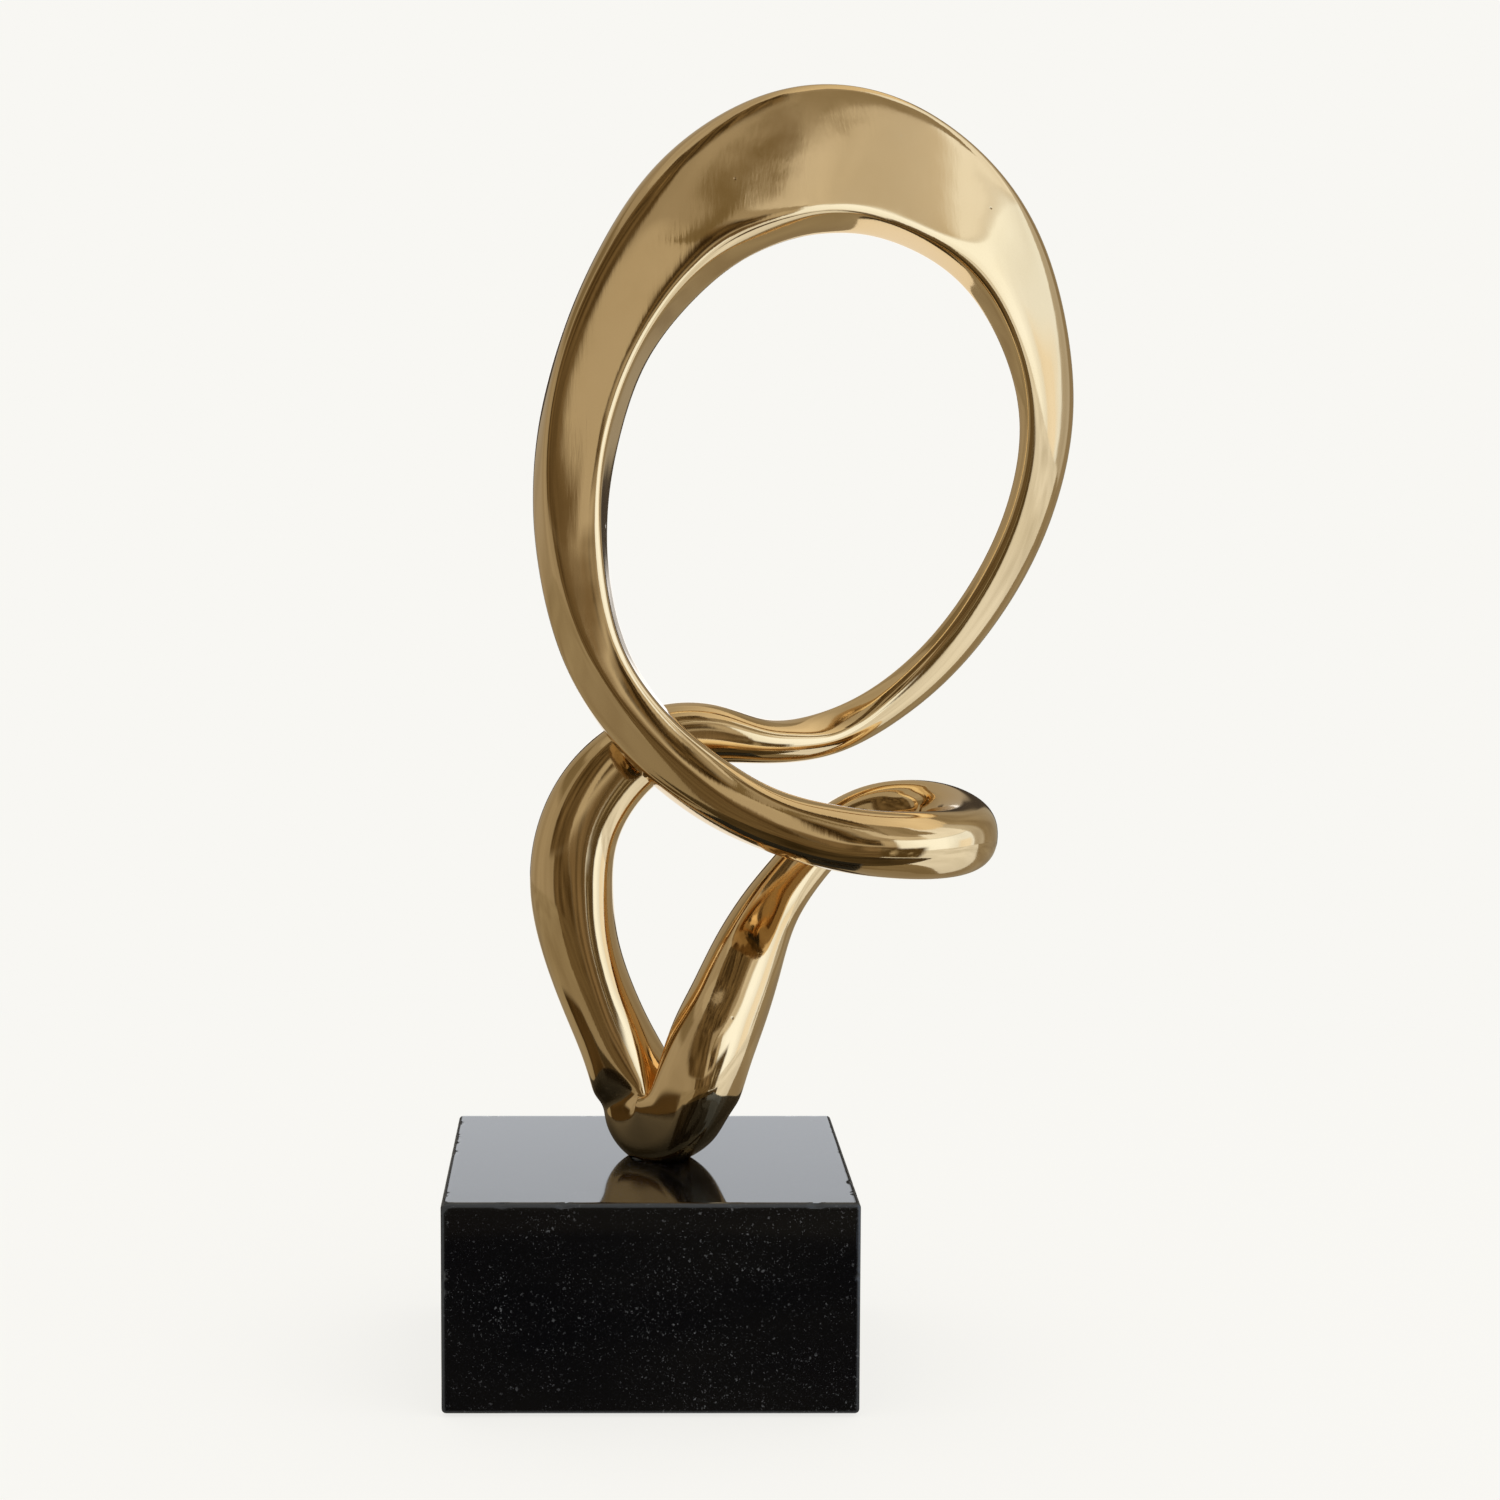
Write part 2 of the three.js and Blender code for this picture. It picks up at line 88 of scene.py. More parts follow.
# Stations of the strand in millimetres, from the foot up the left leg and all the way round:
# at, the way its front looks, (breadth, thickness), shift along the breadth, and its section. Places
# are points in the photo, seen through the fitted camera. From the 13th to the 34th station the way
# the front looks, the sizes, the shift and the section come from a scratch fit to the photo's outline
# and reflections, rounded, but for how crisp the flats are. The rest was set one by one.
STATIONS = [
    # Sole of the foot and left leg, going up
    ((3, 0.3, 11), (-0.63, -0.78, -0.1), (24.8, 25), -1.3, (10, 5, 10.6, (225, 13.4), (45, 12.4))),
    ((-0.5, 4.3, 14.5), (-0.62, -0.78, -0.08), (23.2, 25.5), -1.4, (10, 5, 11.2, (225, 13.5), (45, 12.7))),
    ((-3.2, 7, 22.5), (-0.58, -0.81, 0), (23, 26), -1.1, (10, 3.4, 12.6, (225, 14), (45, 13.8))),
    ((-9.4, 8.8, 36), (-0.4, -0.9, 0), (23, 26), -0.5, (12, 2.3, 20, (150, 26), (60, 26))),
    ((-15.9, 9.8, 50), (-0.3, -0.95, 0), (22.8, 25.5), 0, ROUND),
    ((-21.3, 10.5, 66), (-0.2, -1, 0), (24.2, 25), 0, ROUND),
    ((-24.1, 11.3, 84), (-0.1, -1, 0), (26.3, 25), 0, ROUND),
    ((-22.1, 12.5, 102.1), (0, -1, 0), (26, 23.5), 0, ROUND),
    ((-13.1, 14.2, 118.5), (0, -1, 0), (25, 21.5), 0, ROUND),
    # Behind the front strand, then the low neck on the left of the ring's foot
    ((2, 16.5, 130), (0, -1, 0), (22.6, 20), 0, ROUND),
    ((20, 17.5, 133), (0, -1, 0), (19, 18), 0, (12, 2.3, 20, (85, 20), (70, 20))),
    ((38, 20, 130.4), (0.1, -1, -0.1), (13.8, 18), 0, (10, 2.2, 13, (94, 11.5), (66, 10.5))),
    ((58.5, 25.5, 132.5), (0.5, -0.8, -0.2), (14, 15), -0.2, (8, 2, 10.8, (99, 7.2), (65, 5.4))),
    ((79, 30, 143), (0.6, -0.78, -0.18), (15.6, 11.6), -0.2, (8, 1.8, 10.6, (100, 8.8), (82, 6.2))),
    # Right limb of the ring, going up
    ((98, 31.5, 160.3), (0.64, -0.76, -0.12), (17.4, 10.4), -0.2, (10, 1.8, 10.6, (101, 10.4), (95, 7.4))),
    ((113.7, 29.5, 183.3), (0.66, -0.74, -0.06), (18.8, 10.5), -0.4, (10, 1.9, 10.5, (101, 12), (104, 8.6))),
    ((123.2, 26, 206.9), (0.68, -0.73, 0.01), (20, 10.6), -0.6, (12, 2.1, 10.5, (99, 13.9), (109, 9.4))),
    ((126.7, 22, 230.6), (0.66, -0.74, 0.07), (22, 11), -0.8, (14, 2.3, 10.5, (96, 16), (110, 10))),
    ((123, 18, 254.2), (0.62, -0.77, 0.13), (25.5, 12.8), -0.7, (16, 2.7, 10.2, (92, 18), (107, 10.8))),
    ((113.1, 14, 278.5), (0.52, -0.84, 0.18), (30.8, 16.2), -1.2, (18, 3.2, 9.5, (87, 20.4), (103, 13.2))),
    ((97.4, 10, 297), (0.36, -0.91, 0.21), (36.8, 20.4), -1.4, (20, 3.5, 8.4, (82, 22.4), (98, 16.2))),
    # Crown of the ring, where the strand is broadest
    ((76.5, 6, 309.2), (0.2, -0.95, 0.24), (42.4, 23.6), -1.1, (22, 3.6, 7.8, (76, 23.7), (87, 19.2))),
    ((55.8, 2, 313), (0.1, -0.96, 0.25), (45.4, 24.6), -0.8, (24, 3.4, 7.9, (72, 24), (75, 20.8))),
    ((36, -1.5, 308.8), (0.03, -0.97, 0.23), (44.4, 23.8), -0.7, (24, 3, 8.6, (71, 23), (69, 20.4))),
    ((16, -4, 297.1), (-0.02, -0.98, 0.18), (40.4, 22.8), -0.9, (22, 2.5, 9.8, (74, 20.6), (69, 17.8))),
    ((-0.4, -6, 278.5), (-0.04, -0.99, 0.12), (35.4, 23.4), -0.9, (16, 2.7, 10.2, (78, 17.6), (75, 14))),
    # Left limb of the ring, coming down
    ((-13.2, -8, 256.9), (-0.06, -1, 0.06), (31, 24), -1.2, (14, 3, 10.2, (79, 15), (81, 11.6))),
    ((-20.9, -9.5, 234), (-0.07, -1, 0.01), (28.4, 24), -1.2, (14, 3.3, 10.3, (73, 13.4), (81, 10.6))),
    ((-24, -11, 211), (-0.08, -1, -0.01), (26, 22.8), -1, (18, 3.3, 11, (63, 12.3), (85, 9.8))),
    ((-23, -12.5, 187), (-0.06, -1, 0), (23.8, 22), -1, (20, 3.2, 11.7, (53, 11.4), (88, 9))),
    ((-16.8, -14, 161.6), (0, -1, 0.03), (22, 22.6), -0.9, (20, 3.2, 11.9, (44, 10.4), (85, 8.2))),
    # Front strand, down to the right across the neck and the left leg
    ((-4.7, -16.5, 141.5), (0.12, -0.99, 0.07), (21, 23.4), -0.5, (18, 3.1, 11.7, (39, 10.3), (80, 8.4))),
    ((10.3, -19, 126.5), (0.24, -0.96, 0.1), (20.2, 24), -0.1, (14, 3.1, 11.4, (36, 10.5), (76, 9.2))),
    ((30, -23, 113.3), (0.3, -0.94, 0.11), (19, 24), -0.3, (10, 2.9, 11.2, (35, 11), (72, 10.2))),
    ((52, -27, 106.2), (0.1, -1, 0.2), (19.5, 20), 0, (10, 2.6, 13, (42, 13), (70, 12))),
    # Curl on the right, turning back behind the front strand
    ((72, -28, 103.2), (0, -0.9, 0.5), (19.6, 19.5), 0, (12, 2.4, 20, (60, 20), (72, 20))),
    ((91.5, -20, 102.4), (0, -0.5, 0.9), (20, 20), 0, ROUND),
    ((99.5, 0, 103.6), (0, 0, 1), (20, 20), 0, ROUND),
    ((93.5, 20, 107), (0, -0.5, 0.9), (19, 19), 0, ROUND),
    ((76, 27.5, 107.2), (0, -0.9, 0.5), (18, 18), 0, ROUND),
    ((60.8, 26, 101.2), (0, -1, 0), (17.3, 17), 0, ROUND),
    # Right leg, going down to the foot
    ((49.8, 22.5, 90.6), (-0.1, -1, 0), (17.3, 18), 0, ROUND),
    ((39.3, 17.5, 77), (-0.2, -1, 0), (19.5, 20), 0, ROUND),
    ((31.5, 10, 62.1), (-0.3, -1, 0), (23.5, 23), 0, ROUND),
    ((25.4, 3, 48.3), (-0.4, -0.9, 0), (25.8, 25), 0, ROUND),
    ((19.2, -3.5, 36), (-0.5, -0.85, 0), (27, 26), -0.5, (12, 2.3, 20, (150, 26), (60, 26))),
    ((13.9, -6, 22.5), (-0.6, -0.8, 0), (23.7, 26), -1.5, (10, 3.4, 12.6, (225, 14), (45, 13.8))),
    ((9.2, -3.8, 14.5), (-0.62, -0.78, -0.08), (22.7, 25.5), -1.8, (10, 5, 11.2, (225, 13.5), (45, 12.7))),
]


# The strand's form
def control_rows(rows):
    """Control rows of the closed cubic B-spline that passes through the given rows."""
    control = rows.copy()
    count = len(rows)
    for _ in range(SPLINE_SWEEPS):
        for i in range(count):
            control[i] = (6 * rows[i] - control[i - 1] - control[(i + 1) % count]) / 4
    return control


def blend_rows(control, t):
    """The spline's row at parameter t, and its rate of change."""
    first = math.floor(t)
    f = t - first
    weights = ((1 - f) ** 3, 3 * f**3 - 6 * f**2 + 4, -3 * f**3 + 3 * f**2 + 3 * f + 1, f**3)
    rates = (-((1 - f) ** 2), 3 * f**2 - 4 * f, -3 * f**2 + 2 * f + 1, f**2)
    near = [control[(first - 1 + k) % len(control)] for k in range(4)]
    value = sum(w * row for w, row in zip(weights, near)) / 6
    rate = sum(r * row for r, row in zip(rates, near)) / 2
    return value, rate


def signed_power(value, power):
    """The power of the value's size, with the value's sign."""
    return np.sign(value) * np.abs(value) ** power


def ring_points(value, rate):
    """One ring of points of the strand: its section set square to the strand."""
    place, front = value[0:3], value[3:6]
    breadth, thickness, shift, crisp, square, reach = value[6:12]
    outer_turn, outer_reach, inner_turn, inner_reach = value[12:16]
    along = rate[0:3] / np.linalg.norm(rate[0:3])
    front = front - along * (front @ along)
    front = front / np.linalg.norm(front)
    across = np.cross(along, front)
    angle = (np.arange(POINTS_PER_RING) + 0.5) * 2 * math.pi / POINTS_PER_RING
    sideways = breadth / 2 * signed_power(np.cos(angle), 2 / square)
    forward = thickness / 2 * signed_power(np.sin(angle), 2 / square)
    press = np.ones(POINTS_PER_RING)
    for turn, limit in ((0, reach), (outer_turn, outer_reach), (-inner_turn, inner_reach)):
        toward = sideways * math.sin(math.radians(turn)) + forward * math.cos(math.radians(turn))
        press += (np.maximum(0, toward) / limit) ** crisp
    pressed = press ** (-1 / crisp)
    return place + np.outer(sideways * pressed + shift, across) + np.outer(forward * pressed, front)


def strand_rings():
    """All rings of the strand in millimetres above the block's top, as an array."""
    rows = [
        [*at, *face, *size, shift, crisp, square, reach, *outer, *inner]
        for at, face, size, shift, (crisp, square, reach, outer, inner) in STATIONS
    ]
    control = control_rows(np.array(rows, float))
    count = len(STATIONS) * RINGS_PER_STATION
    return np.array([ring_points(*blend_rows(control, i / RINGS_PER_STATION)) for i in range(count)])


# Mesh helpers
def mesh_object(name, bm):
    """An object in the scene with the built mesh."""
    mesh = bpy.data.meshes.new(name)
    bm.to_mesh(mesh)
    bm.free()
    piece = bpy.data.objects.new(name, mesh)
    bpy.context.scene.collection.objects.link(piece)
    return piece


def cylinder(name, radius, low, high):
    """A closed cylinder on the Z axis, used as a cutting tool."""
    bm = bmesh.new()
    bmesh.ops.create_cone(
        bm, cap_ends=True, segments=96, radius1=radius, radius2=radius, depth=high - low
    )
    bmesh.ops.translate(bm, verts=bm.verts, vec=(0, 0, (low + high) / 2))
    return mesh_object(name, bm)


def cut(piece, tool):
    """Takes the tool's space out of the piece and deletes the tool."""
    modifier = piece.modifiers.new("cut", "BOOLEAN")
    modifier.operation = "DIFFERENCE"
    modifier.solver = "EXACT"
    modifier.object = tool
    bpy.context.view_layer.update()
    depsgraph = bpy.context.evaluated_depsgraph_get()
    mesh = bpy.data.meshes.new_from_object(piece.evaluated_get(depsgraph))
    piece.modifiers.clear()
    old = piece.data
    piece.data = mesh
    bpy.data.meshes.remove(old)
    bpy.data.objects.remove(tool)


def smooth(piece, degrees):
    """Smooth shading, with edges sharper than the angle kept sharp."""
    piece.data.shade_smooth()
    piece.data.set_sharp_from_angle(angle=math.radians(degrees))


def dress(piece, material):
    """Gives the piece one material all over."""
    piece.data.materials.clear()
    piece.data.materials.append(material)


# Node helpers
def new_material(name):
    material = bpy.data.materials.new(name)
    material.use_nodes = True
    tree = material.node_tree
    return material, tree, tree.nodes["Principled BSDF"]


def add_node(tree, kind, inputs=None, **settings):
    """A node with its settings, its inputs given as values or as sockets to link from."""
    node = tree.nodes.new(kind)
    for key, value in settings.items():
        setattr(node, key, value)
    for key, value in (inputs or {}).items():
        if isinstance(value, bpy.types.NodeSocket):
            tree.links.new(value, node.inputs[key])
        else:
            node.inputs[key].default_value = value
    return node


def calculate(tree, operation, *values):
    """What a math node makes of values or sockets."""
    return add_node(tree, "ShaderNodeMath", dict(enumerate(values)), operation=operation).outputs[0]


def calculate_vector(tree, operation, *values):
    """What a vector math node makes of values or sockets."""
    inputs = dict(enumerate(values))
    return add_node(tree, "ShaderNodeVectorMath", inputs, operation=operation).outputs[0]


def object_place(tree):
    """The place on the object, in metres."""
    return add_node(tree, "ShaderNodeTexCoord").outputs["Object"]


def split(tree, value):
    """The three parts of a vector or a colour."""
    return add_node(tree, "ShaderNodeSeparateXYZ", {0: value}).outputs


def remap(tree, value, low, high, new_low, new_high):
    """The value's range from low to high moved to the new range, and held at its ends."""
    inputs = {"Value": value, "From Min": low, "From Max": high, "To Min": new_low, "To Max": new_high}
    return add_node(tree, "ShaderNodeMapRange", inputs).outputs["Result"]


def noise_node(tree, place, scale, detail=3.0, roughness=0.5):
    """Soft noise from 0 to 1."""
    inputs = {"Vector": place, "Scale": scale, "Detail": detail, "Roughness": roughness}
    return add_node(tree, "ShaderNodeTexNoise", inputs).outputs["Fac"]


def mix_colors(tree, factor, first, second):
    """The first colour at 0, the second at 1. A mix node's colours are its sockets 6, 7 and 2."""
    return add_node(
        tree, "ShaderNodeMix", {0: factor, 6: first, 7: second}, data_type="RGBA"
    ).outputs[2]


# Materials
def bump(tree, shader, height, distance):
    """Bends the shader's surface by a height, on top of any bump it already has."""
    inputs = {"Height": height, "Distance": distance, "Strength": 1.0}
    if shader.inputs["Normal"].is_linked:
        inputs["Normal"] = shader.inputs["Normal"].links[0].from_socket
    tree.links.new(add_node(tree, "ShaderNodeBump", inputs).outputs["Normal"], shader.inputs["Normal"])


def stretched(tree, place, rotation, scale):
    """The place turned and then stretched, so that a round pattern becomes streaks."""
    inputs = {"Vector": place, "Rotation": rotation, "Scale": scale}
    return add_node(tree, "ShaderNodeMapping", inputs).outputs["Vector"]


def brass_material():
    """Hand-polished brass: warm gold, gently wavy, with fine rub marks, haze and a few small pits."""
    material, tree, shader = new_material("polished_brass")
    place = object_place(tree)
    tone = remap(tree, noise_node(tree, place, 22, 5.0), 0.3, 0.7, 0, 1)
    color = mix_colors(tree, tone, (0.80, 0.575, 0.295, 1), (0.845, 0.62, 0.34, 1))
    spots = add_node(tree, "ShaderNodeTexVoronoi", {"Vector": place, "Scale": 75})
    chosen = split(tree, spots.outputs["Color"])["X"]
    reach = remap(tree, chosen, 0.72, 1.0, 0.0, 0.055)
    pit = remap(tree, spots.outputs["Distance"], reach, 0.0, 0, 1)
    color = mix_colors(tree, pit, color, (0.22, 0.13, 0.06, 1))
    tree.links.new(color, shader.inputs["Base Color"])
    shader.inputs["Metallic"].default_value = 1.0
    haze = noise_node(tree, place, 55, 6.0, 0.6)
    tree.links.new(remap(tree, haze, 0.3, 0.75, 0.045, 0.115), shader.inputs["Roughness"])
    bump(tree, shader, noise_node(tree, place, 38, 2.0, 0.4), 0.2 * MM)
    for rotation in ((0.5, 0.3, 0.2), (1.4, 0.9, 2.1), (2.6, 1.9, 0.8)):
        rubbed = noise_node(tree, stretched(tree, place, rotation, (1, 1, 0.06)), 900, 2.0)
        bump(tree, shader, rubbed, 0.004 * MM)
    bump(tree, shader, pit, -0.1 * MM)
    return material


def flecks(tree, place, scale, share, size, levels):
    """Grey flecks, one at most in each cell: which share of cells has none, their size and brightness."""
    cells = add_node(tree, "ShaderNodeTexVoronoi", {"Vector": place, "Scale": scale})
    chance = split(tree, cells.outputs["Color"])
    reach = remap(tree, chance["X"], share, 1.0, 0.0, size)
    grain = remap(tree, cells.outputs["Distance"], reach, 0.0, 0, 1)
    level = remap(tree, chance["Y"], 0.0, 1.0, *levels)
    return calculate(tree, "MULTIPLY", grain, level)


def arris_wear_and_highlight(tree):
    """1 on the arrises and in their chips, where the stone turns to the next face, and 0 on the faces. It
    marks their wear and a painted highlight along them.
    """
    normal = add_node(tree, "ShaderNodeNewGeometry").outputs["Normal"]
    x, y, z = split(tree, calculate_vector(tree, "ABSOLUTE", normal))
    squareness = calculate(tree, "MAXIMUM", calculate(tree, "MAXIMUM", x, y), z)
    return remap(tree, squareness, 0.995, 0.93, 0, 1)


def granite_material():
    """Polished black granite: fine broken grey flecks that crowd and thin out, under a slight haze."""
    material, tree, shader = new_material("black_granite")
    place = object_place(tree)
    inputs = {"Vector": place, "Scale": 1500, "Detail": 3.0}
    jitter = add_node(tree, "ShaderNodeTexNoise", inputs).outputs["Color"]
    broken = calculate_vector(tree, "MULTIPLY_ADD", jitter, (1.6 * MM,) * 3, place)
    crowd = remap(tree, noise_node(tree, place, 38, 4.0, 0.6), 0.35, 0.65, 0.35, 1.25)
    total = flecks(tree, broken, 640, 0.58, 0.36, (0.015, 0.17))
    small = flecks(tree, broken, 1350, 0.4, 0.42, (0.01, 0.11))
    dust = flecks(tree, broken, 2500, 0.4, 0.5, (0.005, 0.045))
    for layer in (small, dust):
        total = calculate(tree, "ADD", total, layer)
    total = calculate(tree, "MULTIPLY", total, crowd)
    wear_and_highlight = arris_wear_and_highlight(tree)
    # Lightens the arrises and chips: partly their wear, partly a painted highlight along the edges
    total = calculate(tree, "MULTIPLY_ADD", wear_and_highlight, 0.03, total)
    color = mix_colors(tree, total, (0.0016, 0.0017, 0.0026, 1), (0.93, 0.96, 1.0, 1))
    tree.links.new(color, shader.inputs["Base Color"])
    gloss = remap(tree, noise_node(tree, place, 30, 4.0), 0.3, 0.7, 0.035, 0.085)
    tree.links.new(calculate(tree, "MULTIPLY_ADD", wear_and_highlight, 0.3, gloss), shader.inputs["Roughness"])
    shader.inputs["IOR"].default_value = 1.54
    shader.inputs["Specular Tint"].default_value = (0.82, 0.91, 1.0, 1)
    return material


def felt_material():
    """Black pressed felt: matt, matted together from short fibres."""
    material, tree, shader = new_material("black_felt")
    place = object_place(tree)
    fibres = noise_node(tree, stretched(tree, place, (0.4, 0.2, 0.9), (1, 0.25, 1)), 1800, 6.0, 0.7)
    clumps = noise_node(tree, place, 240, 4.0)
    tone = remap(tree, fibres, 0.3, 0.7, 0, 1)
    color = mix_colors(tree, tone, (0.009, 0.009, 0.010, 1), (0.034, 0.034, 0.036, 1))
    color = mix_colors(tree, remap(tree, clumps, 0.4, 0.8, 0, 0.4), color, (0.05, 0.05, 0.052, 1))
    tree.links.new(color, shader.inputs["Base Color"])
    shader.inputs["Roughness"].default_value = 1.0
    shader.inputs["Specular IOR Level"].default_value = 0.1
    shader.inputs["Sheen Weight"].default_value = 0.3
    bump(tree, shader, fibres, 0.15 * MM)
    bump(tree, shader, clumps, 0.2 * MM)
    return material


def steel_material():
    """Bright zinc-plated steel: a slight bluish mottle and turning marks."""
    material, tree, shader = new_material("zinc_plated_steel")
    place = object_place(tree)
    tone = remap(tree, noise_node(tree, place, 400, 4.0), 0.3, 0.7, 0, 1)
    color = mix_colors(tree, tone, (0.42, 0.43, 0.46, 1), (0.56, 0.57, 0.57, 1))
    tree.links.new(color, shader.inputs["Base Color"])
    shader.inputs["Metallic"].default_value = 1.0
    rough = remap(tree, noise_node(tree, place, 900, 3.0), 0.3, 0.7, 0.25, 0.42)
    tree.links.new(rough, shader.inputs["Roughness"])
    turned = noise_node(tree, stretched(tree, place, (0, 0, 0), (0.05, 0.05, 1)), 6000, 2.0)
    bump(tree, shader, turned, 0.01 * MM)
    return material


# Pieces
def brass_loop():
    """The casting: the strand's skin with its sole cut flat and a blind hole for the stud."""
    rings = strand_rings() * MM
    rings[..., 2] += BLOCK_TOP
    bm = bmesh.new()
    verts = [[bm.verts.new(point) for point in ring] for ring in rings]
    count = len(verts)
    for i in range(count):
        for j in range(POINTS_PER_RING):
            beside = (j + 1) % POINTS_PER_RING
            after = (i + 1) % count
            bm.faces.new((verts[i][j], verts[after][j], verts[after][beside], verts[i][beside]))
    cut_edges = bmesh.ops.bisect_plane(
        bm,
        geom=bm.verts[:] + bm.edges[:] + bm.faces[:],
        plane_co=(0, 0, BLOCK_TOP),
        plane_no=(0, 0, 1),
        clear_inner=True,
    )["geom_cut"]
    bmesh.ops.holes_fill(bm, edges=[e for e in cut_edges if isinstance(e, bmesh.types.BMEdge)])
    bmesh.ops.recalc_face_normals(bm, faces=bm.faces)
    piece = mesh_object("brass_loop_cast", bm)
    cut(piece, cylinder("foot_hole", FOOT_HOLE_RADIUS, BLOCK_TOP - ARRIS, BLOCK_TOP + FOOT_HOLE_DEPTH))
    smooth(piece, 60)
    dress(piece, brass)
    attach(piece, "root")
    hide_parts("brass_loop")


def rounded_slab(name, low, high, radius, middle, rounding, chip=None):
    """A closed box with rounded edges, of four-sided patches. The chip takes a depth off the edges."""
    centre = (low + high) / 2
    half = (high - low) / 2
    bm = bmesh.new()
    found = {}

    def steps(size):
        """Where the patches end along one side: close together on the rounded edges."""
        edge = [radius * (1 - math.cos(math.pi / 2 * i / rounding)) for i in range(rounding)]
        inner = [radius + (2 * size - 2 * radius) * i / middle for i in range(middle + 1)]
        return [value - size for value in edge + inner + [2 * size - value for value in reversed(edge)]]

    def vertex(point):
        """The corner at a point of the square box, one for all the patches that meet there."""
        key = tuple(round(value * 1e7) for value in point)
        if key not in found:
            inner = Vector([max(-h + radius, min(h - radius, value)) for value, h in zip(point, half)])
            away = Vector(point) - inner
            rounded = sum(abs(value) > radius * 1e-3 for value in away) > 1
            depth = radius - (chip(inner) if chip and rounded else 0)
            if away.length > 0:
                away = away.normalized() * depth
            found[key] = bm.verts.new(centre + inner + away)
        return found[key]

    for axis in range(3):
        u_axis, v_axis = (axis + 1) % 3, (axis + 2) % 3
        us, vs = steps(half[u_axis]), steps(half[v_axis])
        for side in (-1, 1):
            for u0, u1 in zip(us, us[1:]):
                for v0, v1 in zip(vs, vs[1:]):
                    corners = []
                    for u, v in ((u0, v0), (u1, v0), (u1, v1), (u0, v1))[::side]:
                        point = [0, 0, 0]
                        point[axis], point[u_axis], point[v_axis] = side * half[axis], u, v
                        corners.append(vertex(point))
                    bm.faces.new(corners)
    return mesh_object(name, bm)


def edge_chips(place):
    """Depth of the small chips on the block's upper arrises."""
    if place.z < 0:
        return 0.0
    wear = noise.noise(place * 130) * 0.5 + noise.noise(place * 420) * 0.5
    return CHIP_DEPTH * max(0.0, min(1.0, (wear - 0.16) * 5))


def granite_block():
    """The block with rounded, slightly chipped arrises, the stud's bore and the nut's recess."""
    piece = rounded_slab(
        "granite_block_cut", block_low, block_high, ARRIS, middle=96, rounding=5, chip=edge_chips
    )
    cut(piece, cylinder("bore", BORE_RADIUS, block_low.z - ARRIS, block_high.z + ARRIS))
    cut(piece, cylinder("recess", RECESS_RADIUS, block_low.z - ARRIS, block_low.z + RECESS_DEPTH))
    smooth(piece, 40)
    dress(piece, granite)
    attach(piece, "root")
    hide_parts("granite_block")


def felt_underlay():
    """The sheet of felt glued under the block, its cut edge a little uneven."""
    thickness = felt_high.z - felt_low.z
    piece = rounded_slab("felt_sheet", felt_low, felt_high, thickness * 0.3, middle=60, rounding=2)
    for vertex in piece.data.vertices:
        place = vertex.co
        near_edge = max(abs(place.x), abs(place.y)) > felt_high.x - thickness
        if near_edge:
            pull = 1 - 0.004 * (0.5 + 0.5 * noise.noise(place * 260))
            vertex.co = Vector((place.x * pull, place.y * pull, place.z))
    smooth(piece, 50)
    dress(piece, felt)
    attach(piece, "root")
    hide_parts("felt_underlay")


brass = brass_material()
granite = granite_material()
felt = felt_material()
steel = steel_material()

brass_loop()
granite_block()
felt_underlay()

for node in ("threaded_stud", "flat_washer", "spring_washer", "hexagon_nut"):
    dress(frame["nodes"][node], steel)


# Stage
BACKDROP = (0.939, 0.930, 0.896)
ROOM_HEIGHT = 1.9
ROOM_REACH = 1.3
TABLE_HEIGHT = 0.001
FLOOR_REACH = 6
BEARING_STEP = 6


def bare_material(name):
    """A material with no shader in it yet."""
    material = bpy.data.materials.new(name)
    material.use_nodes = True
    material.node_tree.nodes.clear()
    return material, material.node_tree


def shine(tree, color):
    """Lets the whole material glow in a colour."""
    glow = add_node(tree, "ShaderNodeEmission", {"Color": color, "Strength": 1.0})
    output = add_node(tree, "ShaderNodeOutputMaterial")
    tree.links.new(glow.outputs[0], output.inputs["Surface"])


def emission_material(name, color):
    """An even glow."""
    material, tree = bare_material(name)
    shine(tree, (*color, 1))
    return material


def streaked_material(name, first, second, scale, stretch, low=0.35, high=0.65, gradient=None):
    """A glow that drifts between two colours in soft streaks, and may brighten along X."""
    material, tree = bare_material(name)
    place = object_place(tree)
    drawn_out = calculate_vector(tree, "MULTIPLY", place, stretch)
    streaks = remap(tree, noise_node(tree, drawn_out, scale, 4.0), low, high, 0, 1)
    color = mix_colors(tree, streaks, (*first, 1), (*second, 1))
    if gradient:
        (start, dim), (end, lit) = gradient
        level = remap(tree, split(tree, place)["X"], start, end, dim, lit)
        inputs = {0: color, "Scale": level}
        color = add_node(tree, "ShaderNodeVectorMath", inputs, operation="SCALE").outputs[0]
    shine(tree, color)
    return material


def card(name, bm, material):
    """A screen or sheet of the studio that shows only in reflections."""
    piece = mesh_object(name, bm)
    piece.data.materials.append(material)
    piece.visible_camera = False
    piece.visible_diffuse = False
    piece.visible_shadow = False
    piece.visible_transmission = False


